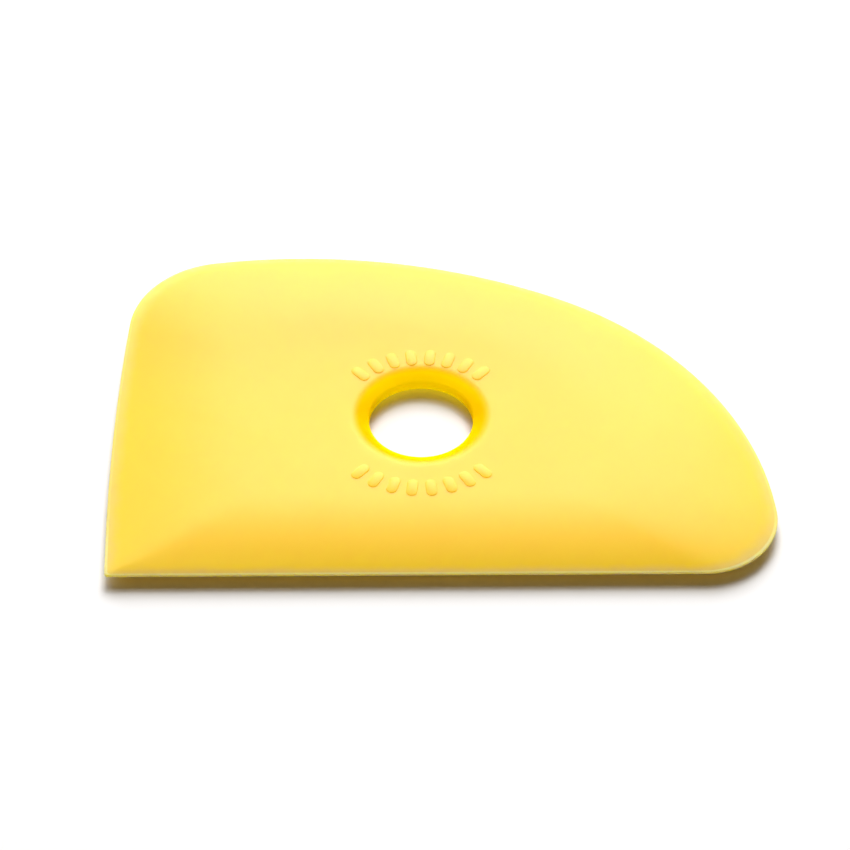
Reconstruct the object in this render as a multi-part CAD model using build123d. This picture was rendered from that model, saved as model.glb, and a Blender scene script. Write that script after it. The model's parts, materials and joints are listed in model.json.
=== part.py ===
from build123d import *
import math
import os

# A potter's rib: one flexible moulding used to shape and smooth wet clay.
# Seen from above, it has a straight working edge in front, a nearly square heel at
# the left end of that edge, a rounded shoulder above the heel, a long curved back
# and belly, and a small round nose at the right end.  Both faces are crowned: they
# are flat around the finger hole, fall away to a narrow bevelled rim, and leave a
# thin edge at mid thickness.
#
# Frame: millimetres, +X along the working edge from heel to nose, +Y from the
# working edge to the back, +Z out of the marked face.  The origin is the centre of
# the finger hole at mid thickness.

# Overall sizes
length = 133.4
width = 90.0
thickness = 4.6

# Finger hole: a straight land at mid thickness between two shallow conical dishes
hole_radius = 10.5
hole_from_side = 62.7
hole_from_working_edge = 42.0
dish_width = 2.8
dish_angle = 25.0
dish_blend_radius = 6.0
lip_radius = 0.7

# Outline
nose_radius = 14.9
nose_lead_angle = 5.3
back_angle = 26.0
crest_from_side = 38.0
shoulder_radius = 20.2
side_radius = 615.0
side_swell_height = 11.0
heel_radius = 0.7

# Section, from the edge inwards
edge_thickness = 0.6
rim_width = 1.5
rim_rise = 0.3
crown_steps = 4

# Raised marks: plain bars in two arcs, behind and in front of the hole, about a
# common centre that lies a little in front of the hole's
mark_centre_drop = 2.1
mark_gap = 1.65
mark_length = 4.4
mark_width = 2.2
mark_height = 0.12
mark_sink = 0.3
mark_count = 8
mark_spread = 83.0
flat_margin = 1.2

# Sizes that follow from the ones above
half_thickness = thickness / 2
half_edge = edge_thickness / 2
side_x = -hole_from_side
nose_x = length - hole_from_side
front_y = -hole_from_working_edge
back_y = width - hole_from_working_edge
hole_dish_radius = hole_radius + dish_width
hole_mouth_radius = hole_dish_radius + dish_blend_radius * math.tan(math.radians(dish_angle / 2))
dish_depth = dish_width * math.tan(math.radians(dish_angle))
mark_ring_radius = hole_mouth_radius + mark_gap + mark_length / 2
flat_reach = mark_ring_radius + mark_length / 2 + flat_margin
nearest_edge = min(hole_from_working_edge, back_y)
flat_scale = flat_reach / nearest_edge
rim_scale = 1 - rim_width / nearest_edge


def toward(start, angle, distance):
    """Return the point at a distance from start, in a direction in degrees."""
    turn = math.radians(angle)
    return start + Vector(math.cos(turn), math.sin(turn)) * distance


def contact(large, small, small_radius):
    """Return where a circle inside another touches it, from the two centres."""
    return small + (small - large).normalized() * small_radius


def centre_between(first, first_radius, second, second_radius):
    """Return the upper left point at a given distance from each of two centres."""
    gap = second - first
    along = (first_radius**2 - second_radius**2 + gap.length**2) / (2 * gap.length)
    across = math.sqrt(first_radius**2 - along**2)
    unit = gap.normalized()
    square = Vector(-unit.Y, unit.X)
    candidates = [first + unit * along + square * side * across for side in (-1, 1)]
    return max(candidates, key=lambda point: point.Y - point.X)


def back_and_belly_radii(run, drop):
    """Return the radii of the two arcs that lead from the crest to the nose.

    The first arc turns through back_angle and the second one through what is left
    before the nose; together they cover the run along X and the drop along Y.
    """
    first = math.radians(back_angle)
    both = math.radians(90 - nose_lead_angle)
    first_run = math.sin(first)
    second_run = math.sin(both) - math.sin(first)
    first_drop = 1 - math.cos(first)
    second_drop = math.cos(first) - math.cos(both)
    size = first_run * second_drop - second_run * first_drop
    back = (run * second_drop - second_run * drop) / size
    belly = (first_run * drop - run * first_drop) / size
    return back, belly


def outline():
    """Return the flat outline of the rib: one straight edge and five tangent arcs."""
    nose = Vector(nose_x - nose_radius, front_y + nose_radius)
    nose_start = toward(nose, nose_lead_angle, nose_radius)
    crest = Vector(side_x + crest_from_side, back_y)
    back_radius, belly_radius = back_and_belly_radii(
        nose_start.X - crest.X, crest.Y - nose_start.Y
    )
    back = crest - Vector(0, back_radius)
    belly_start = toward(back, 90 - back_angle, back_radius)

    side = Vector(side_x + side_radius, front_y + side_swell_height)
    shoulder = centre_between(
        side, side_radius - shoulder_radius, back, back_radius - shoulder_radius
    )
    side_end = contact(side, shoulder, shoulder_radius)
    back_start = contact(back, shoulder, shoulder_radius)
    heel_offset = side_radius - math.sqrt(side_radius**2 - side_swell_height**2)
    heel = Vector(side_x + heel_offset, front_y)
    heel_square_to = heel - side
    heel_direction = Vector(heel_square_to.Y, -heel_square_to.X)

    corners = [heel, side_end, back_start, belly_start, nose_start]
    corners.append(Vector(nose.X, front_y))
    edges = []
    direction = heel_direction
    for start, end in zip(corners, corners[1:]):
        edges.append(TangentArc(start, end, tangent=direction))
        direction = edges[-1] % 1
    edges.append(Line(corners[-1], heel))
    face = make_face(edges)
    heel_corner = face.vertices().sort_by_distance(heel)[0]
    return fillet(heel_corner, heel_radius)


def level(flat_outline, scale_factor, height):
    """Return the outline drawn in towards the hole and lifted to a height."""
    return Pos(0, 0, height) * scale(flat_outline, by=scale_factor)


def crown(flat_outline):
    """Return the upper crown: steepest at the rim and level where the flat begins."""
    rim_height = half_edge + rim_rise
    climb = half_thickness - rim_height
    levels = []
    for step in range(crown_steps + 1):
        share = step / crown_steps
        factor = rim_scale + (flat_scale - rim_scale) * share
        levels.append(level(flat_outline, factor, rim_height + climb * (1 - (1 - share) ** 2)))
    return loft(levels)


def upper_half(flat_outline):
    """Return the half of the moulding above mid thickness."""
    edge = extrude(flat_outline, half_edge)
    bevel = loft(
        [
            level(flat_outline, 1, half_edge),
            level(flat_outline, rim_scale, half_edge + rim_rise),
        ],
        ruled=True,
    )
    return edge + bevel + crown(flat_outline)


def finger_rim():
    """Return the ring that lines the finger hole: dish, lip, land, lip and dish."""
    corner_height = half_thickness - dish_depth
    section = make_face(
        Polyline(
            (hole_mouth_radius, half_thickness),
            (hole_dish_radius, half_thickness),
            (hole_radius, corner_height),
            (hole_radius, -corner_height),
            (hole_dish_radius, -half_thickness),
            (hole_mouth_radius, -half_thickness),
            close=True,
        )
    )
    corners = section.vertices().group_by(Axis.X)
    section = fillet(corners[0], lip_radius)
    corners = section.vertices().group_by(Axis.X)
    section = fillet(corners[-2], dish_blend_radius * 0.999)
    return revolve(Plane.XZ * section, axis=Axis.Z)


def raised_marks():
    """Return the plain bars that stand up from the marked face around the hole."""
    bars = []
    pitch = mark_spread / (mark_count - 1)
    bar = extrude(SlotOverall(mark_length, mark_width), mark_height + mark_sink)
    for middle in (90, 270):
        for index in range(mark_count):
            angle = middle - mark_spread / 2 + pitch * index
            bars.append(
                Pos(0, -mark_centre_drop, half_thickness - mark_sink)
                * Rot(0, 0, angle)
                * Pos(mark_ring_radius, 0, 0)
                * bar
            )
    return bars


def rib_body():
    """Return the whole moulding."""
    upper = upper_half(outline())
    body = upper + mirror(upper, about=Plane.XY)
    body -= Cylinder(hole_mouth_radius, thickness * 2)
    body += finger_rim()
    for bar in raised_marks():
        body += bar
    return body


os.makedirs("parts", exist_ok=True)
export_step(rib_body(), "parts/rib_body.step")
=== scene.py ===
"""A potter's rib on a pale table: one flexible yellow moulding, modelled and dressed.

The rib is drawn as its outline, raised ring by ring into a crowned blade, opened by a
finger hole, mirrored to its second face and given its raised marks.
"""

import json
import logging
import math
from dataclasses import dataclass, field
from enum import Enum
from typing import Any, Callable, Iterator, Union

import bpy
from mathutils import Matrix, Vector


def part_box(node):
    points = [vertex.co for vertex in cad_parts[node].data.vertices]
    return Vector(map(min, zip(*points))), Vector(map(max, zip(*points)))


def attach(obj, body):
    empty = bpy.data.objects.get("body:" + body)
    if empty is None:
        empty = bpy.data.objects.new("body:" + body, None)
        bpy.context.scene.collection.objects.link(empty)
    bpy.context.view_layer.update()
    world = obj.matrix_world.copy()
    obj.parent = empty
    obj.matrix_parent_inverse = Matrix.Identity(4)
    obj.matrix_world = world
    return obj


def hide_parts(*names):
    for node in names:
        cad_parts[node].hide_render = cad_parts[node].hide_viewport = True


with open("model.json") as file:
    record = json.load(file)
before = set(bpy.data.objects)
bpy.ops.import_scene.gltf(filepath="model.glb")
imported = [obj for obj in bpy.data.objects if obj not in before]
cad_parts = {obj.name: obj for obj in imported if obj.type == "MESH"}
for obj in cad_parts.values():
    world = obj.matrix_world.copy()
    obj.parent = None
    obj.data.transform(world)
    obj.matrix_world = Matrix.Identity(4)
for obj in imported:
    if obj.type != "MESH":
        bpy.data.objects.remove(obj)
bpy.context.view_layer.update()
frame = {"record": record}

MM = 0.001
TINY = 0.001 * MM
JOIN = 0.01 * MM
ANGLE_SLACK = 0.001
NODE = "rib_body"
log = logging.getLogger("pottery_rib")

Number = Union[int, float]


class Editing(Enum):
    """The part of a mesh that is picked in edit mode."""

    POINTS = "VERT"
    EDGES = "EDGE"
    FACES = "FACE"


# ---------------------------------------------------------------- mesh bench


@dataclass
class Bench:
    """The mesh object in hand, with the picking that every modelling step starts from.

    Args:
        piece: the object that is being shaped.
    """

    piece: bpy.types.Object

    @classmethod
    def start_with_point(cls, name: str, place: Vector) -> "Bench":
        """Start a mesh as one point.

        Args:
            name: name of the new object.
            place: where the point lies.

        Returns:
            The bench that holds the new object, in edit mode with the point picked.
        """
        clear_picks()
        bpy.ops.mesh.primitive_plane_add(size=MM)
        bench = cls(bpy.context.object)
        bench.piece.name = name
        bpy.ops.object.mode_set(mode="EDIT")
        bpy.ops.mesh.select_all(action="SELECT")
        bpy.ops.mesh.merge(type="CENTER")
        bpy.ops.transform.translate(value=place)
        return bench

    def pick_points(self, wanted: Callable[[Vector], bool]) -> int:
        """Pick the points that pass a test of their place, and nothing else.

        Args:
            wanted: the test, given the point's place.

        Returns:
            How many points are picked.
        """
        self._clear(Editing.POINTS)
        picked = 0
        for point in self.piece.data.vertices:
            point.select = wanted(point.co)
            picked += point.select
        bpy.ops.object.mode_set(mode="EDIT")
        return picked

    def pick_edges(self, wanted: Callable[[Vector, Vector], bool]) -> int:
        """Pick the edges whose two ends pass a test, and nothing else.

        Args:
            wanted: the test, given the places of the edge's ends.

        Returns:
            How many edges are picked.
        """
        self._clear(Editing.EDGES)
        mesh = self.piece.data
        picked = 0
        for edge in mesh.edges:
            first, second = (mesh.vertices[index].co for index in edge.vertices)
            edge.select = wanted(first, second)
            picked += edge.select
        bpy.ops.object.mode_set(mode="EDIT")
        return picked

    def _clear(self, kind: Editing) -> None:
        """Drop every pick, set what is picked, and leave edit mode.

        Args:
            kind: the part of the mesh that is picked from now on.
        """
        bpy.context.view_layer.objects.active = self.piece
        bpy.ops.object.mode_set(mode="EDIT")
        bpy.ops.mesh.select_mode(type=kind.value)
        bpy.ops.mesh.select_all(action="DESELECT")
        bpy.ops.object.mode_set(mode="OBJECT")

    def apply_modifier(self, kind: str, **settings: Any) -> None:
        """Add a modifier, set it and apply it.

        Args:
            kind: the modifier's type.
            settings: its settings by name.
        """
        leave_edit_mode()
        pick_only(self.piece)
        bpy.ops.object.modifier_add(type=kind)
        modifier = self.piece.modifiers[-1]
        for name, value in settings.items():
            setattr(modifier, name, value)
        bpy.ops.object.modifier_apply(modifier=modifier.name)


def leave_edit_mode() -> None:
    """Go back to object mode if a mesh is being edited."""
    if bpy.context.object and bpy.context.object.mode != "OBJECT":
        bpy.ops.object.mode_set(mode="OBJECT")


def clear_picks() -> None:
    """Deselect every object, so that the next operator acts on new geometry only."""
    leave_edit_mode()
    bpy.ops.object.select_all(action="DESELECT")


def pick_only(piece: bpy.types.Object) -> None:
    """Select one object, and make it the active one.

    Args:
        piece: the object.
    """
    clear_picks()
    piece.select_set(True)
    bpy.context.view_layer.objects.active = piece


# ---------------------------------------------------------------- outline


@dataclass(frozen=True)
class Arc:
    """One round stretch of the outline, walked clockwise.

    Args:
        centre: the arc's centre.
        radius: its radius.
        start: direction from the centre to its first point, in radians.
        turn: the angle that it covers, in radians.
    """

    centre: Vector
    radius: float
    start: float
    turn: float

    @property
    def first_point(self) -> Vector:
        """Where the arc starts."""
        return self.centre + direction(self.start) * self.radius

    @property
    def last_point(self) -> Vector:
        """Where the arc ends."""
        return self.centre + direction(self.start - self.turn) * self.radius

    @property
    def length(self) -> float:
        """The arc's length along its curve."""
        return self.radius * self.turn


def direction(angle: float) -> Vector:
    """Return the flat unit vector at an angle from +X, in radians."""
    return Vector((math.cos(angle), math.sin(angle), 0.0))


def heading(vector: Vector) -> float:
    """Return a flat vector's angle from +X, in radians, from -90 to 270 degrees."""
    angle = math.atan2(vector.y, vector.x)
    return angle + math.tau if angle < -math.pi / 2 - ANGLE_SLACK else angle


@dataclass
class Outline:
    """The rib's outline: a straight working edge and a chain of tangent arcs.

    Lengths are in metres and angles in degrees. The origin is the hole's centre.

    Args:
        low: lowest corner of the moulding.
        high: highest corner of the moulding.
        nose_radius: radius of the small nose at the right end.
        nose_lead: angle that the nose turns before its rightmost point.
        back_angle: angle between the crest and the start of the belly.
        crest_from_side: distance of the highest point from the left side.
        shoulder_radius: radius of the upper left corner.
        side_radius: radius of the nearly straight left side.
        side_swell: height of the side's leftmost point over the working edge.
        heel_radius: radius of the nearly sharp lower left corner.
    """

    low: Vector
    high: Vector
    nose_radius: float = 14.9 * MM
    nose_lead: float = 5.3
    back_angle: float = 26.0
    crest_from_side: float = 38.0 * MM
    shoulder_radius: float = 20.2 * MM
    side_radius: float = 615.0 * MM
    side_swell: float = 11.0 * MM
    heel_radius: float = 0.7 * MM

    def arcs(self) -> list[Arc]:
        """Work out the tangent arcs, clockwise from the heel to the working edge.

        Returns:
            The heel, side, shoulder, back, belly and nose arcs in order.
        """
        nose = Vector((self.high.x - self.nose_radius, self.low.y + self.nose_radius, 0))
        lead = math.radians(self.nose_lead)
        nose_start = nose + direction(lead) * self.nose_radius
        crest = Vector((self.low.x + self.crest_from_side, self.high.y, 0))
        back_radius, belly_radius = self._back_and_belly(nose_start - crest)
        back = crest - Vector((0, back_radius, 0))
        belly_from = math.radians(90 - self.back_angle)
        belly = back + direction(belly_from) * (back_radius - belly_radius)

        side = Vector((self.low.x + self.side_radius, self.low.y + self.side_swell, 0))
        shoulder = meeting_point(
            side,
            self.side_radius - self.shoulder_radius,
            back,
            back_radius - self.shoulder_radius,
        )
        side_end = heading(shoulder - side)
        shoulder_end = heading(shoulder - back)
        heel, side_start = self._heel_arc(side)
        return [
            heel,
            Arc(side, self.side_radius, side_start, side_start - side_end),
            Arc(shoulder, self.shoulder_radius, side_end, side_end - shoulder_end),
            Arc(back, back_radius, shoulder_end, shoulder_end - belly_from),
            Arc(belly, belly_radius, belly_from, belly_from - lead),
            Arc(nose, self.nose_radius, lead, lead + math.pi / 2),
        ]

    def _back_and_belly(self, span: Vector) -> tuple[float, float]:
        """Work out the two radii that lead from the crest down to the nose.

        Args:
            span: from the crest to the nose's start.

        Returns:
            The back's radius and the belly's.
        """
        first = math.radians(self.back_angle)
        both = math.radians(90 - self.nose_lead)
        first_run, first_drop = math.sin(first), 1 - math.cos(first)
        second_run = math.sin(both) - first_run
        second_drop = math.cos(first) - math.cos(both)
        size = first_run * second_drop - second_run * first_drop
        back = (span.x * second_drop + span.y * second_run) / size
        belly = (-span.y * first_run - span.x * first_drop) / size
        return back, belly

    def _heel_arc(self, side: Vector) -> tuple[Arc, float]:
        """Fit the heel between the working edge and the side.

        Args:
            side: centre of the left side's arc.

        Returns:
            The heel's arc, and the direction from that centre to where the side starts.
        """
        height = self.low.y + self.heel_radius
        reach = self.side_radius - self.heel_radius
        run = math.sqrt(reach**2 - (height - side.y) ** 2)
        centre = Vector((side.x - run, height, 0))
        end = heading(centre - side)
        start = 3 * math.pi / 2
        return Arc(centre, self.heel_radius, start, start - end), end


def meeting_point(first: Vector, first_far: float, second: Vector, second_far: float) -> Vector:
    """Find the upper left point at given distances from two centres.

    Args:
        first: the first centre.
        first_far: distance from it.
        second: the second centre.
        second_far: distance from that one.

    Returns:
        The point that lies further up and to the left.
    """
    gap = second - first
    along = (first_far**2 - second_far**2 + gap.length_squared) / (2 * gap.length)
    across = math.sqrt(first_far**2 - along**2)
    unit = gap.normalized()
    square = Vector((-unit.y, unit.x, 0))
    ends = [first + unit * along + square * across * side for side in (-1, 1)]
    return max(ends, key=lambda point: point.y - point.x)


# ---------------------------------------------------------------- rib


@dataclass(frozen=True)
class Station:
    """One ring of the blade.

    Args:
        share: the ring's size, as a share of the outline.
        height: its height over mid thickness.
    """

    share: float
    height: float


@dataclass
class RibBody:
    """The moulding: crowned blade, finger hole and raised marks.

    Lengths are in metres. Sizes that the frame gives are read from it.

    Args:
        edge_thickness: thickness of the thin edge.
        edge_round: radius on the edge's two corners.
        rim_width: width of the bevelled rim where it is narrowest.
        rim_rise: how far the rim climbs over the edge.
        mark_centre_drop: how far the marks' common centre lies in front of the hole's.
        mark_gap: gap from the hole's mouth to the marks, before that drop.
        mark_length: length of a mark, along the radius.
        mark_width: width of a mark.
        mark_sink: how far a mark's root reaches into the blade.
        mark_round: radius on a mark's upper edges.
        mark_count: marks in each of the two arcs.
        mark_spread: angle that each arc covers, in degrees.
        flat_margin: flat left between the marks and the crown.
        dish_width: width of the shallow cone round the hole.
        dish_angle: its slope, in degrees.
        dish_blend: radius between the cone and the flat.
        lip_radius: radius between the cone and the hole's wall.
        point_gap: distance between points along the outline.
        heel_points: fewest points on an arc, as on the heel.
        edge_rings: rings round the edge's corner.
        rim_rings: rings across the rim.
        crown_rings: rings from the rim to the flat.
        flat_rings: rings from the flat's edge to the hole's mouth.
        blend_rings: rings round the blend from the flat to the cone.
        cone_rings: rings down the cone.
        lip_rings: rings round the lip.
        hip_passes: reach from the heel and number of passes of each blend of the hip.
        mark_end_share: radius of a mark's round ends, as a share of its width.
        mark_end_steps: faces round each of them.
        mark_round_steps: faces round a mark's upper edges.
        crease_angle: angle between two faces that are shaded apart, in degrees.
    """

    edge_thickness: float = 0.6 * MM
    edge_round: float = 0.12 * MM
    rim_width: float = 1.5 * MM
    rim_rise: float = 0.3 * MM
    mark_centre_drop: float = 2.1 * MM
    mark_gap: float = 1.65 * MM
    mark_length: float = 4.4 * MM
    mark_width: float = 2.2 * MM
    mark_sink: float = 0.3 * MM
    mark_round: float = 0.1 * MM
    mark_count: int = 8
    mark_spread: float = 83.0
    flat_margin: float = 1.2 * MM
    dish_width: float = 2.8 * MM
    dish_angle: float = 25.0
    dish_blend: float = 6.0 * MM
    lip_radius: float = 0.7 * MM
    point_gap: float = 1.0 * MM
    heel_points: int = 6
    edge_rings: int = 3
    rim_rings: int = 3
    crown_rings: int = 22
    flat_rings: int = 10
    blend_rings: int = 7
    cone_rings: int = 6
    lip_rings: int = 6
    hip_passes: tuple[tuple[float, int], ...] = (
        (16 * MM, 120),
        (26 * MM, 90),
        (36 * MM, 60),
        (46 * MM, 30),
    )
    mark_end_share: float = 0.49
    mark_end_steps: int = 8
    mark_round_steps: int = 3
    crease_angle: float = 40.0
    low: Vector = field(default_factory=lambda: Vector(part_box(NODE)[0]))
    high: Vector = field(default_factory=lambda: Vector(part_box(NODE)[1]))

    def __post_init__(self) -> None:
        """Take the hole and the section from the frame."""
        hole = next(m for m in frame["record"]["mounts"] if m["name"] == "finger_hole")
        self.hole_radius = hole["dims"]["r_mm"] * MM
        self.half_thickness = -self.low.z
        self.mark_height = self.high.z - self.half_thickness
        self.half_edge = self.edge_thickness / 2
        self.dish_slope = math.radians(self.dish_angle)
        self.dish_radius = self.hole_radius + self.dish_width
        blend_run = self.dish_blend * math.tan(self.dish_slope / 2)
        self.mouth_radius = self.dish_radius + blend_run
        self.mark_ring = self.mouth_radius + self.mark_gap + self.mark_length / 2
        self.nearest_edge = min(-self.low.y, self.high.y)
        flat_reach = self.mark_ring + self.mark_length / 2 + self.flat_margin
        self.flat_share = flat_reach / self.nearest_edge
        self.rim_share = 1 - self.rim_width / self.nearest_edge

    def build(self) -> bpy.types.Object:
        """Model the whole rib.

        Returns:
            The finished object, riding on the root body in place of the plain node.
        """
        bench = self._draw_outline()
        self._raise_crown(bench)
        self._open_hole(bench)
        self._soften_heel(bench)
        self._add_second_face(bench)
        self._add_marks(bench)
        self._smooth(bench)
        rib = bench.piece
        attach(rib, "root")
        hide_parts(NODE)
        return rib

    def _draw_outline(self) -> Bench:
        """Walk a point round the outline, and close it where it started.

        Returns:
            The bench that holds the outline, in edit mode with all of it picked.
        """
        arcs = Outline(self.low, self.high).arcs()
        bench = Bench.start_with_point("rib", arcs[0].first_point)
        for arc in arcs:
            steps = max(self.heel_points, round(arc.length / self.point_gap))
            bpy.ops.mesh.spin(steps=steps, angle=arc.turn, center=arc.centre, axis=(0, 0, 1))
        edge = arcs[0].first_point - arcs[-1].last_point
        steps = round(edge.length / self.point_gap)
        for _ in range(steps):
            bpy.ops.mesh.extrude_region_move(TRANSFORM_OT_translate={"value": edge / steps})
        bpy.ops.mesh.select_all(action="SELECT")
        bpy.ops.mesh.remove_doubles(threshold=JOIN)
        return bench

    def _stations(self) -> Iterator[Station]:
        """Work out the blade's rings.

        Yields:
            Each ring, from mid thickness at the edge up to the flat.
        """
        for step in range(self.edge_rings + 1):
            angle = math.pi / 2 * step / self.edge_rings
            inward = self.edge_round * (1 - math.cos(angle))
            rise = self.half_edge - self.edge_round * (1 - math.sin(angle))
            yield Station(1 - inward / self.nearest_edge, rise)
        start = 1 - self.edge_round / self.nearest_edge
        for step in range(1, self.rim_rings + 1):
            share = step / self.rim_rings
            size = start + (self.rim_share - start) * share
            yield Station(size, self.half_edge + self.rim_rise * share)
        rim_height = self.half_edge + self.rim_rise
        climb = self.half_thickness - rim_height
        for step in range(1, self.crown_rings + 1):
            share = step / self.crown_rings
            size = self.rim_share + (self.flat_share - self.rim_share) * share
            yield Station(size, rim_height + climb * (1 - (1 - share) ** 2))

    def _raise_crown(self, bench: Bench) -> None:
        """Draw the outline inwards and upwards, one ring at a time.

        Args:
            bench: the outline, picked.
        """
        last = Station(1.0, 0.0)
        for ring in self._stations():
            extrude_ring(ring.share / last.share, ring.height - last.height)
            last = ring

    def _open_hole(self, bench: Bench) -> None:
        """Bridge the flat to the hole's mouth, and sink the dish down to the land.

        Args:
            bench: the blade's upper half.
        """
        self._bridge_to_mouth(bench)
        top = self.half_thickness
        bench.pick_edges(lambda a, b: is_level(a, b, top) and self._on_mouth(a, b) == 2)
        last = Station(self.mouth_radius, top)
        for ring in self._dish():
            extrude_ring(ring.share / last.share, ring.height - last.height)
            last = ring
        extrude_ring(1.0, -last.height)

    def _dish(self) -> Iterator[Station]:
        """Work out the dish's rings.

        Yields:
            Each ring from the mouth to the land, with its radius as the share.
        """
        slope = self.dish_slope
        top = self.half_thickness
        for step in range(1, self.blend_rings + 1):
            angle = slope * step / self.blend_rings
            radius = self.mouth_radius - self.dish_blend * math.sin(angle)
            yield Station(radius, top - self.dish_blend * (1 - math.cos(angle)))
        upper = Station(radius, top - self.dish_blend * (1 - math.cos(slope)))
        corner = top - self.dish_width * math.tan(slope)
        tangent = self.lip_radius * math.tan((math.pi / 2 - slope) / 2)
        lower = Station(
            self.hole_radius + tangent * math.cos(slope), corner + tangent * math.sin(slope)
        )
        for step in range(1, self.cone_rings + 1):
            share = step / self.cone_rings
            yield Station(
                upper.share + (lower.share - upper.share) * share,
                upper.height + (lower.height - upper.height) * share,
            )
        centre = self.hole_radius + self.lip_radius
        for step in range(1, self.lip_rings + 1):
            angle = slope + (math.pi / 2 - slope) * step / self.lip_rings
            yield Station(
                centre - self.lip_radius * math.sin(angle),
                corner - tangent + self.lip_radius * math.cos(angle),
            )

    def _bridge_to_mouth(self, bench: Bench) -> None:
        """Join the crown's last ring to a circle round the mouth, with rings between.

        The circle is lifted while it is bridged, which makes both rings run the same
        way round, and is then lowered onto the flat.

        Args:
            bench: the blade's upper half.
        """
        top = self.half_thickness
        lift = self.dish_width
        points = bench.pick_edges(lambda a, b: is_level(a, b, top))
        bpy.ops.mesh.primitive_circle_add(
            vertices=points, radius=self.mouth_radius, location=(0, 0, top + lift)
        )
        bench.pick_edges(lambda a, b: is_level(a, b, top) or is_level(a, b, top + lift))
        bpy.ops.mesh.bridge_edge_loops(interpolation="LINEAR")
        bench.pick_points(lambda place: place.z > top + lift / 2)
        bpy.ops.transform.translate(value=(0, 0, -lift))
        bench.pick_edges(lambda a, b: is_level(a, b, top) and self._on_mouth(a, b) == 1)
        bpy.ops.mesh.subdivide(number_cuts=self.flat_rings)

    def _on_mouth(self, first: Vector, second: Vector) -> int:
        """Count how many of an edge's ends lie on the mouth's circle."""
        return sum(place.xy.length < self.mouth_radius + TINY for place in (first, second))

    def _soften_heel(self, bench: Bench) -> None:
        """Blend the hip where the side's and the working edge's slopes meet.

        Args:
            bench: the blade's upper half.
        """
        lowest = self.half_edge + self.rim_rise + JOIN
        heel = self.low.xy
        for reach, repeats in self.hip_passes:
            bench.pick_points(
                lambda place: place.z > lowest and (place.xy - heel).length < reach
            )
            bpy.ops.mesh.vertices_smooth(
                factor=0.5, repeat=repeats, xaxis=True, yaxis=True, zaxis=True
            )

    def _add_second_face(self, bench: Bench) -> None:
        """Mirror the upper half to make the moulding whole, with its normals outwards.

        Args:
            bench: the blade's upper half.
        """
        bench.apply_modifier(
            "MIRROR",
            use_axis=(False, False, True),
            use_clip=True,
            merge_threshold=TINY,
        )
        bpy.ops.object.mode_set(mode="EDIT")
        bpy.ops.mesh.select_mode(type=Editing.FACES.value)
        bpy.ops.mesh.select_all(action="SELECT")
        bpy.ops.mesh.normals_make_consistent(inside=False)
        leave_edit_mode()

    def _add_marks(self, bench: Bench) -> None:
        """Raise the two arcs of plain bars out of the upper face.

        Args:
            bench: the whole blade.
        """
        bar = self._first_bar()
        bars = [turned_copy(bar, angle) for angle in self._mark_angles()]
        pick_only(bar)
        bpy.ops.object.delete()
        for copy in bars:
            copy.select_set(True)
        bpy.context.view_layer.objects.active = bars[0]
        bpy.ops.object.join()
        marks = bpy.context.object
        bpy.ops.object.mode_set(mode="EDIT")
        bpy.ops.mesh.select_all(action="SELECT")
        bpy.ops.transform.translate(value=(0, -self.mark_centre_drop, 0))
        leave_edit_mode()
        bench.apply_modifier("BOOLEAN", operation="UNION", solver="EXACT", object=marks)
        pick_only(marks)
        bpy.ops.object.delete()

    def _mark_angles(self) -> list[float]:
        """Return the marks' angles from +X, in radians: behind the hole, then in front."""
        pitch = math.radians(self.mark_spread) / (self.mark_count - 1)
        return [
            middle + pitch * (index - (self.mark_count - 1) / 2)
            for middle in (math.pi / 2, 3 * math.pi / 2)
            for index in range(self.mark_count)
        ]

    def _first_bar(self) -> bpy.types.Object:
        """Shape one bar, with round ends and softened upper edges, on the +X radius.

        Returns:
            The bar.
        """
        clear_picks()
        bpy.ops.mesh.primitive_cube_add(size=1.0)
        bench = Bench(bpy.context.object)
        bench.piece.name = "mark"
        tall = self.mark_height + self.mark_sink
        bpy.ops.object.mode_set(mode="EDIT")
        bpy.ops.mesh.select_all(action="SELECT")
        bpy.ops.transform.resize(value=(self.mark_length, self.mark_width, tall))
        middle = self.half_thickness + self.mark_height - tall / 2
        bpy.ops.transform.translate(value=(self.mark_ring, 0, middle))
        bench.pick_edges(lambda a, b: abs(a.z - b.z) > tall / 2)
        bpy.ops.mesh.bevel(
            offset=self.mark_width * self.mark_end_share,
            segments=self.mark_end_steps,
            affect="EDGES",
        )
        bench.pick_edges(lambda a, b: min(a.z, b.z) > middle)
        bpy.ops.mesh.bevel(
            offset=self.mark_round, segments=self.mark_round_steps, affect="EDGES"
        )
        leave_edit_mode()
        return bench.piece

    def _smooth(self, bench: Bench) -> None:
        """Shade the moulding smooth, with a crease only at the foot of each mark."""
        pick_only(bench.piece)
        bpy.ops.object.shade_smooth_by_angle(angle=math.radians(self.crease_angle))


def extrude_ring(factor: float, rise: float) -> None:
    """Extrude the picked ring, size it about the hole's axis and lift it.

    Args:
        factor: its new size as a share of the old one.
        rise: how far it is lifted.
    """
    bpy.ops.mesh.extrude_edges_move(TRANSFORM_OT_translate={"value": (0, 0, rise)})
    if factor != 1.0:
        bpy.ops.transform.resize(value=(factor, factor, 1), center_override=(0, 0, 0))


def turned_copy(piece: bpy.types.Object, angle: float) -> bpy.types.Object:
    """Copy an object with its mesh, and turn the mesh about the hole's axis.

    Args:
        piece: the object to copy.
        angle: how far the copy is turned, in radians.

    Returns:
        The copy.
    """
    pick_only(piece)
    bpy.ops.object.duplicate()
    copy = bpy.context.object
    bpy.ops.object.mode_set(mode="EDIT")
    bpy.ops.mesh.select_all(action="SELECT")
    bpy.ops.transform.rotate(value=-angle, orient_axis="Z", center_override=(0, 0, 0))
    leave_edit_mode()
    return copy


def is_level(first: Vector, second: Vector, height: float) -> bool:
    """Tell whether both ends of an edge lie at a height."""
    return abs(first.z - height) < TINY and abs(second.z - height) < TINY


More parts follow.
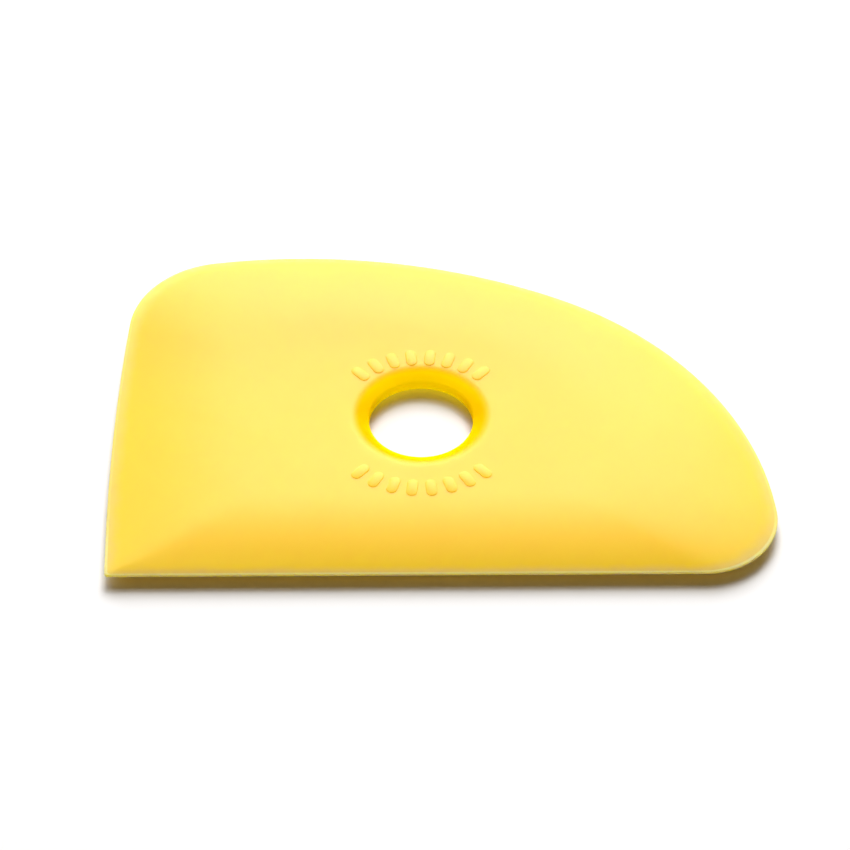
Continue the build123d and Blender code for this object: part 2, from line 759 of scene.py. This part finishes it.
# ---------------------------------------------------------------- shader bench


class Wire:
    """A shader socket that takes part in sums, so that masks read as arithmetic.

    Args:
        shop: the tree that the socket belongs to.
        socket: the output socket.
    """

    def __init__(self, shop: "Shop", socket: bpy.types.NodeSocket) -> None:
        """Keep the tree and the socket."""
        self.shop = shop
        self.socket = socket

    def _with(self, operation: str, *others: Union["Wire", Number]) -> "Wire":
        """Join this value to others through one Math node."""
        return self.shop.math(operation, self, *others)

    def __add__(self, other: Union["Wire", Number]) -> "Wire":
        """Return the sum."""
        return self._with("ADD", other)

    __radd__ = __add__

    def __mul__(self, other: Union["Wire", Number]) -> "Wire":
        """Return the product."""
        return self._with("MULTIPLY", other)

    __rmul__ = __mul__

    def __sub__(self, other: Union["Wire", Number]) -> "Wire":
        """Return the difference."""
        return self._with("SUBTRACT", other)

    def __rsub__(self, other: Number) -> "Wire":
        """Return a number less this value."""
        return self.shop.math("SUBTRACT", other, self)

    def __truediv__(self, other: Union["Wire", Number]) -> "Wire":
        """Return the quotient."""
        return self._with("DIVIDE", other)

    def __rtruediv__(self, other: Number) -> "Wire":
        """Return a number divided by this value."""
        return self.shop.math("DIVIDE", other, self)

    def __abs__(self) -> "Wire":
        """Return the value without its sign."""
        return self._with("ABSOLUTE")


class Shop:
    """A material's node tree, with one way to add a node.

    Args:
        name: the material's name.
    """

    def __init__(self, name: str) -> None:
        """Make the material and empty its tree."""
        self.material = bpy.data.materials.new(name)
        self.material.use_nodes = True
        self.tree = self.material.node_tree
        self.tree.nodes.clear()

    def node(self, kind: str, settings: dict[str, Any], sockets: dict[Any, Any]) -> bpy.types.Node:
        """Add a node.

        Args:
            kind: the node's type.
            settings: its properties by name, set before the sockets.
            sockets: values or wires by socket name or number.

        Returns:
            The new node.
        """
        node = self.tree.nodes.new(kind)
        for name, value in settings.items():
            setattr(node, name, value)
        for key, value in sockets.items():
            if isinstance(value, Wire):
                self.tree.links.new(value.socket, node.inputs[key])
            else:
                node.inputs[key].default_value = value
        return node

    def math(self, operation: str, *values: Union[Wire, Number]) -> Wire:
        """Add a Math node and return its result."""
        node = self.node("ShaderNodeMath", {"operation": operation}, dict(enumerate(values)))
        return Wire(self, node.outputs[0])

    def between(self, value: Wire, low: float, high: float) -> Wire:
        """Step softly from 0 to 1.

        Args:
            value: what the step follows.
            low: where it starts to rise from 0.
            high: where it reaches 1.

        Returns:
            The step.
        """
        node = self.node(
            "ShaderNodeMapRange",
            {"interpolation_type": "SMOOTHSTEP"},
            {"Value": value, "From Min": low, "From Max": high},
        )
        return Wire(self, node.outputs["Result"])

    def noise(self, place: Wire, scale: float, detail: float = 2.0) -> Wire:
        """Return a noise that varies about a half.

        Args:
            place: the coordinates that it follows.
            scale: its waves per metre.
            detail: how many finer layers it has.

        Returns:
            The noise.
        """
        node = self.node(
            "ShaderNodeTexNoise",
            {},
            {"Vector": place, "Scale": scale, "Detail": detail, "Roughness": 0.5},
        )
        return Wire(self, node.outputs["Fac"])

    def mix(self, share: Wire, under: Any, over: Any) -> Wire:
        """Mix two colours.

        Args:
            share: how much of the second colour shows.
            under: the first colour, or its wire.
            over: the second one.

        Returns:
            The mixed colour.
        """
        sockets = {0: share, 6: under, 7: over}
        return Wire(self, self.node("ShaderNodeMix", {"data_type": "RGBA"}, sockets).outputs[2])

    def finish(self, surface: Wire) -> bpy.types.Material:
        """Join a shader to the material's surface and return the material."""
        self.node("ShaderNodeOutputMaterial", {}, {"Surface": surface})
        return self.material


Colour = tuple[float, float, float, float]
BLACK: Colour = (0.0, 0.0, 0.0, 1.0)


@dataclass(frozen=True)
class Masks:
    """Where each tone of the rib lies, as shares from 0 to 1.

    Args:
        back: towards the curved back, where shade is painted.
        clouds: in the faint clouds.
        rim: on the bevelled rim.
        cut: on the trimmed edge, pale partly from the trimming and partly from a painted
            highlight.
        throat: inside the finger hole.
        throat_far: on the half of the hole behind its middle, where the glow is painted.
        past_front: rising from the hole's front to its middle, and full behind that; it fades out
            the painted shade on the hole's near side.
    """

    back: Wire
    clouds: Wire
    rim: Wire
    cut: Wire
    throat: Wire
    throat_far: Wire
    past_front: Wire


@dataclass(frozen=True)
class PolymerFinish:
    """Cast yellow elastomer: satin, slightly see-through, paler where it was trimmed, with a
    painted highlight on that edge, painted shade towards the back, and painted light, shade and
    glow inside the hole.

    Lengths are in metres, and noises are in waves per metre.

    Args:
        body: colour of the moulding.
        deep: colour of the faint darker clouds in it.
        back: painted shade, a darker colour towards the curved back.
        rim: colour of the hazy bevelled rim.
        throat: colour inside the finger hole, where the skin has no haze: painted light, a deeper
            orange for the light that comes through the polymer.
        throat_near_shade: painted shade, a deeper colour inside the hole on the side towards the
            working edge.
        cut: colour of the thin trimmed edge, pale partly from the trimming and partly from a
            painted highlight.
        painted_glow: painted glow on the wall of the hole that faces the front, emission standing
            in for light that comes through.
        gloss: strength of the skin's highlight.
        roughness: roughness of the moulded skin.
        rim_roughness: roughness of the rubbed rim.
        roughness_spread: how much the roughness varies from place to place.
        glow_depth: how far light travels inside.
        scatter: share of that depth for red, green and blue light.
        ior: its refractive index.
        back_shade_from: distance behind the hole's centre where the back's painted shade starts.
        back_shade_to: distance where it is full.
        rim_share: how much of the rim's haze shows.
        rim_wobble: how far the haze's border wanders.
        rim_fade: how far the haze climbs past the rim.
        trim_highlight_reach: how far the pale trimmed edge, with its painted highlight, climbs
            onto the rim.
        trim_highlight_fade: height over which it ends.
        trim_highlight_front: distance behind the working edge where the pale trimmed edge and its
            painted highlight start to fade.
        trim_highlight_back: distance where it has faded.
        trim_highlight_faded: how much of it is lost there.
        rim_clearance: distances from the hole's centre, in radii of the ring of marks,
            between which the rim's tones come in.
        throat_inset: how far inside the dish's blend the lining is full.
        throat_margin: gap from the end of the lining to the hole's mouth.
        cloud_share: how much of the clouds' colour shows.
        cloud_range: values of the noise between which a cloud rises.
        cloud_waves: noise of the clouds.
        rim_waves: noise of the haze's border.
        coarse_detail: how many finer layers those two have.
        soft_waves: noise of the skin's slow ripple.
        grain_waves: noise of its fine grain.
        ripple: the ripple's height, in heights of the grain.
        bump_strength: how much the grain turns the light.
        bump_height: the grain's height.
    """

    body: Colour = (0.855, 0.550, 0.003, 1.0)
    deep: Colour = (0.845, 0.523, 0.002, 1.0)
    back: Colour = (0.800, 0.460, 0.003, 1.0)
    rim: Colour = (0.770, 0.510, 0.125, 1.0)
    throat: Colour = (0.920, 0.490, 0.001, 1.0)
    throat_near_shade: Colour = (0.900, 0.400, 0.001, 1.0)
    cut: Colour = (0.860, 0.690, 0.260, 1.0)
    painted_glow: Colour = (0.275, 0.300, 0.0, 1.0)
    gloss: float = 0.12
    roughness: float = 0.31
    rim_roughness: float = 0.55
    roughness_spread: float = 0.06
    glow_depth: float = 3.5 * MM
    scatter: tuple[float, float, float] = (1.0, 1.0, 0.03)
    ior: float = 1.5
    back_shade_from: float = -5.0 * MM
    back_shade_to: float = 35.0 * MM
    rim_share: float = 0.9
    rim_wobble: float = 0.15 * MM
    rim_fade: float = 0.12 * MM
    trim_highlight_reach: float = 0.07 * MM
    trim_highlight_fade: float = 0.03 * MM
    trim_highlight_front: float = 6.0 * MM
    trim_highlight_back: float = 20.0 * MM
    trim_highlight_faded: float = 0.75
    rim_clearance: tuple[float, float] = (1.2, 1.4)
    throat_inset: float = 1.0 * MM
    throat_margin: float = 0.2 * MM
    cloud_share: float = 0.35
    cloud_range: tuple[float, float] = (0.35, 0.75)
    cloud_waves: float = 55.0
    rim_waves: float = 260.0
    coarse_detail: float = 3.0
    soft_waves: float = 140.0
    grain_waves: float = 1800.0
    ripple: float = 2.0
    bump_strength: float = 0.15
    bump_height: float = 0.02 * MM

    def make(self, rib: RibBody) -> bpy.types.Material:
        """Make the material for a rib.

        Args:
            rib: the moulding whose rim and hole the masks follow.

        Returns:
            The finished material.
        """
        shop = Shop("rib_polymer")
        place = Wire(shop, shop.node("ShaderNodeTexCoord", {}, {}).outputs["Object"])
        masks = self._masks(shop, place, rib)
        surface = self._surface(shop, place, masks)
        skin = self._polymer(
            shop, self.gloss, {"Base Color": self._skin_colour(shop, masks), **surface}
        )
        # The hole's lining is painted light and shade: a deeper orange for light coming through
        # the polymer, deeper still on the near side, and no highlight.
        inside = shop.mix(masks.past_front, self.throat_near_shade, self.throat)
        lining = self._polymer(
            shop,
            0.0,
            {
                "Base Color": shop.mix(masks.clouds, inside, self.deep),
                # Painted glow: emission on the hole's far wall standing in for light that comes
                # through.
                "Emission Color": shop.mix(masks.throat_far, BLACK, self.painted_glow),
                "Emission Strength": 1.0,
                **surface,
            },
        )
        both = shop.node("ShaderNodeMixShader", {}, {0: masks.throat, 1: skin, 2: lining})
        return shop.finish(Wire(shop, both.outputs[0]))

    def _masks(self, shop: Shop, place: Wire, rib: RibBody) -> Masks:
        """Work out where each tone lies.

        Args:
            shop: the material's tree.
            place: the rib's own coordinates.
            rib: the moulding whose rim and hole the masks follow.

        Returns:
            The masks.
        """
        axes = shop.node("ShaderNodeSeparateXYZ", {}, {0: place})
        x, y, z = (Wire(shop, axes.outputs[name]) for name in "XYZ")
        height = abs(z)
        far = shop.math("SQRT", x * x + y * y)
        outside = shop.between(far / rib.mark_ring, *self.rim_clearance)
        wobble = (shop.noise(place, self.rim_waves, self.coarse_detail) - 0.5) * self.rim_wobble
        haze_end = rib.half_edge + rib.rim_rise + self.rim_fade
        rim = (1 - shop.between(height + wobble, rib.half_edge, haze_end)) * outside
        # The trimmed edge's pale tone is partly a painted highlight, strongest at the working
        # edge.
        trim_highlight_end = rib.half_edge + self.trim_highlight_reach
        cut = (1 - shop.between(height, trim_highlight_end - self.trim_highlight_fade, trim_highlight_end)) * outside
        faded = shop.between(y, rib.low.y + self.trim_highlight_front, rib.low.y + self.trim_highlight_back)
        throat = 1 - shop.between(
            far, rib.dish_radius - self.throat_inset, rib.mouth_radius - self.throat_margin
        )
        clouds = shop.noise(place, self.cloud_waves, self.coarse_detail)
        return Masks(
            # The back's mask carries painted shade.
            back=shop.between(y, self.back_shade_from, self.back_shade_to),
            clouds=shop.between(clouds, *self.cloud_range) * self.cloud_share,
            rim=rim,
            cut=cut * (1 - faded * self.trim_highlight_faded),
            throat=throat,
            throat_far=throat * shop.between(y, 0.0, rib.hole_radius),
            past_front=shop.between(y, -rib.hole_radius, 0.0),
        )

    def _skin_colour(self, shop: Shop, masks: Masks) -> Wire:
        """Lay the body's tones over one another.

        Args:
            shop: the material's tree.
            masks: where each tone lies.

        Returns:
            The colour of the skin outside the hole.
        """
        # The back's tone is painted shade.
        colour = shop.mix(masks.back, self.body, self.back)
        colour = shop.mix(masks.clouds, colour, self.deep)
        colour = shop.mix(masks.rim * self.rim_share, colour, self.rim)
        # The trimmed edge's pale tone is partly a painted highlight.
        return shop.mix(masks.cut, colour, self.cut)

    def _surface(self, shop: Shop, place: Wire, masks: Masks) -> dict[str, Wire]:
        """Give the skin its satin and its fine grain.

        Args:
            shop: the material's tree.
            place: the rib's own coordinates.
            masks: where each tone lies.

        Returns:
            The roughness and the normal, by socket name.
        """
        fine = shop.noise(place, self.grain_waves)
        soft = shop.noise(place, self.soft_waves)
        roughness = (
            self.roughness
            + masks.rim * (self.rim_roughness - self.roughness)
            + (soft - 0.5) * self.roughness_spread
        )
        bump = shop.node(
            "ShaderNodeBump",
            {},
            {
                "Strength": self.bump_strength,
                "Distance": self.bump_height,
                "Height": fine + soft * self.ripple,
            },
        )
        return {"Roughness": roughness, "Normal": Wire(shop, bump.outputs[0])}

    def _polymer(self, shop: Shop, gloss: float, sockets: dict[str, Any]) -> Wire:
        """Make a see-through polymer.

        Args:
            shop: the material's tree.
            gloss: strength of its highlight.
            sockets: its other values or wires by socket name.

        Returns:
            Its shader.
        """
        polymer = shop.node(
            "ShaderNodeBsdfPrincipled",
            {"subsurface_method": "RANDOM_WALK"},
            {
                "Subsurface Weight": 1.0,
                "Subsurface Radius": self.scatter,
                "Subsurface Scale": self.glow_depth,
                "IOR": self.ior,
                "Specular IOR Level": gloss,
                **sockets,
            },
        )
        return Wire(shop, polymer.outputs[0])


# ---------------------------------------------------------------- studio


@dataclass(frozen=True)
class Table:
    """The plain pale table top that the rib rests on.

    Args:
        level: the top's height, in metres.
        size: its width and depth.
        paint: its colour.
        roughness: roughness of the paint.
        gloss: strength of its highlight.
    """

    level: float
    size: float = 3.0
    paint: Colour = (0.870, 0.885, 0.925, 1.0)
    roughness: float = 0.9
    gloss: float = 0.1

    def build(self) -> bpy.types.Object:
        """Lay the table top and paint it.

        Returns:
            The table top.
        """
        clear_picks()
        bpy.ops.mesh.primitive_plane_add(size=self.size)
        top = bpy.context.object
        top.name = "table_top"
        bpy.ops.object.mode_set(mode="EDIT")
        bpy.ops.mesh.select_all(action="SELECT")
        bpy.ops.transform.translate(value=(0, 0, self.level))
        leave_edit_mode()
        shop = Shop("table_top")
        surface = shop.node(
            "ShaderNodeBsdfPrincipled",
            {},
            {
                "Base Color": self.paint,
                "Roughness": self.roughness,
                "Specular IOR Level": self.gloss,
            },
        )
        top.data.materials.append(shop.finish(Wire(shop, surface.outputs[0])))
        return top


@dataclass(frozen=True)
class SoftLight:
    """A rectangular soft box aimed at the rib.

    Args:
        name: the light's name.
        azimuth: where it stands, in degrees round from behind the rib to its right.
        elevation: its height over the table, in degrees.
        distance: how far it stands, in metres.
        width: the box's width.
        height: the box's height.
        power: its power in watts.
        colour: the colour of its light.
    """

    name: str
    azimuth: float
    elevation: float
    distance: float
    width: float
    height: float
    power: float
    colour: tuple[float, float, float] = (1.0, 1.0, 1.0)

    def build(self) -> bpy.types.Object:
        """Hang the light and aim it at the origin.

        Returns:
            The light.
        """
        side, up = math.radians(self.azimuth), math.radians(self.elevation)
        place = Vector(
            (math.sin(side) * math.cos(up), math.cos(side) * math.cos(up), math.sin(up))
        )
        clear_picks()
        bpy.ops.object.light_add(type="AREA", location=place * self.distance)
        lamp = bpy.context.object
        lamp.name = self.name
        lamp.rotation_euler = (-place).to_track_quat("-Z", "Y").to_euler()
        lamp.data.shape = "RECTANGLE"
        lamp.data.size = self.width
        lamp.data.size_y = self.height
        lamp.data.energy = self.power
        lamp.data.color = self.colour
        return lamp


@dataclass(frozen=True)
class Camera:
    """The camera, aimed from in front of the working edge and above it.

    Args:
        target: the point that it looks at, in metres.
        azimuth: how far its line of sight is turned from +Y towards +X, in degrees.
        elevation: its height over the table, in degrees.
        distance: how far it stands from the target, in metres.
        focal: its focal length, in millimetres.
        sensor: width of its sensor, in millimetres.
        nearest: nearest distance that it shows.
    """

    target: tuple[float, float, float] = (0.80 * MM, -0.69 * MM, 0.0)
    azimuth: float = 0.432
    elevation: float = 45.47
    distance: float = 1.0579
    focal: float = 221.5
    sensor: float = 36.0
    nearest: float = 0.01

    def build(self) -> bpy.types.Object:
        """Place the camera and make it the scene's own.

        Returns:
            The camera.
        """
        turn, up = math.radians(self.azimuth), math.radians(self.elevation)
        sight = Vector(
            (math.sin(turn) * math.cos(up), math.cos(turn) * math.cos(up), -math.sin(up))
        )
        clear_picks()
        bpy.ops.object.camera_add(location=Vector(self.target) - sight * self.distance)
        camera = bpy.context.object
        camera.name = "camera"
        camera.rotation_euler = sight.to_track_quat("-Z", "Y").to_euler()
        camera.data.lens = self.focal
        camera.data.sensor_width = self.sensor
        camera.data.clip_start = self.nearest
        bpy.context.scene.camera = camera
        return camera


SOFT_LIGHTS = (
    SoftLight(
        name="back_box",
        azimuth=0.0,
        elevation=50.0,
        distance=1.2,
        width=1.1,
        height=0.9,
        power=8.5,
    ),
    SoftLight(
        name="back_strip",
        azimuth=4.0,
        elevation=44.0,
        distance=1.15,
        width=0.5,
        height=0.45,
        power=10.0,
    ),
    SoftLight(
        name="low_box",
        azimuth=0.0,
        elevation=22.0,
        distance=1.2,
        width=1.3,
        height=0.5,
        power=18.0,
    ),
    SoftLight(
        name="front_fill",
        azimuth=180.0,
        elevation=35.0,
        distance=1.2,
        width=1.5,
        height=1.0,
        power=3.5,
        colour=(1.0, 0.62, 0.05),
    ),
)
ROOM_LIGHT = 0.03


def light_room(strength: float) -> None:
    """Give the room a faint even light of its own.

    Args:
        strength: the light's strength.
    """
    world = bpy.data.worlds.new("room")
    world.use_nodes = True
    background = world.node_tree.nodes["Background"]
    background.inputs["Color"].default_value = (1.0, 1.0, 1.0, 1.0)
    background.inputs["Strength"].default_value = strength
    bpy.context.scene.world = world
    bpy.context.scene.view_settings.view_transform = "Standard"


def main() -> None:
    """Build the rib, dress it, and set the table, the lights and the camera."""
    logging.basicConfig(level=logging.INFO)
    body = RibBody()
    rib = body.build()
    rib.data.materials.clear()
    rib.data.materials.append(PolymerFinish().make(body))
    log.info("%s: %d faces", rib.name, len(rib.data.polygons))
    top = Table(level=body.low.z).build()
    log.info("%s at %.4f m", top.name, body.low.z)
    for light in SOFT_LIGHTS:
        log.info("light %s", light.build().name)
    light_room(ROOM_LIGHT)
    log.info("%s in place", Camera().build().name)


if __name__ == "__main__":
    main()
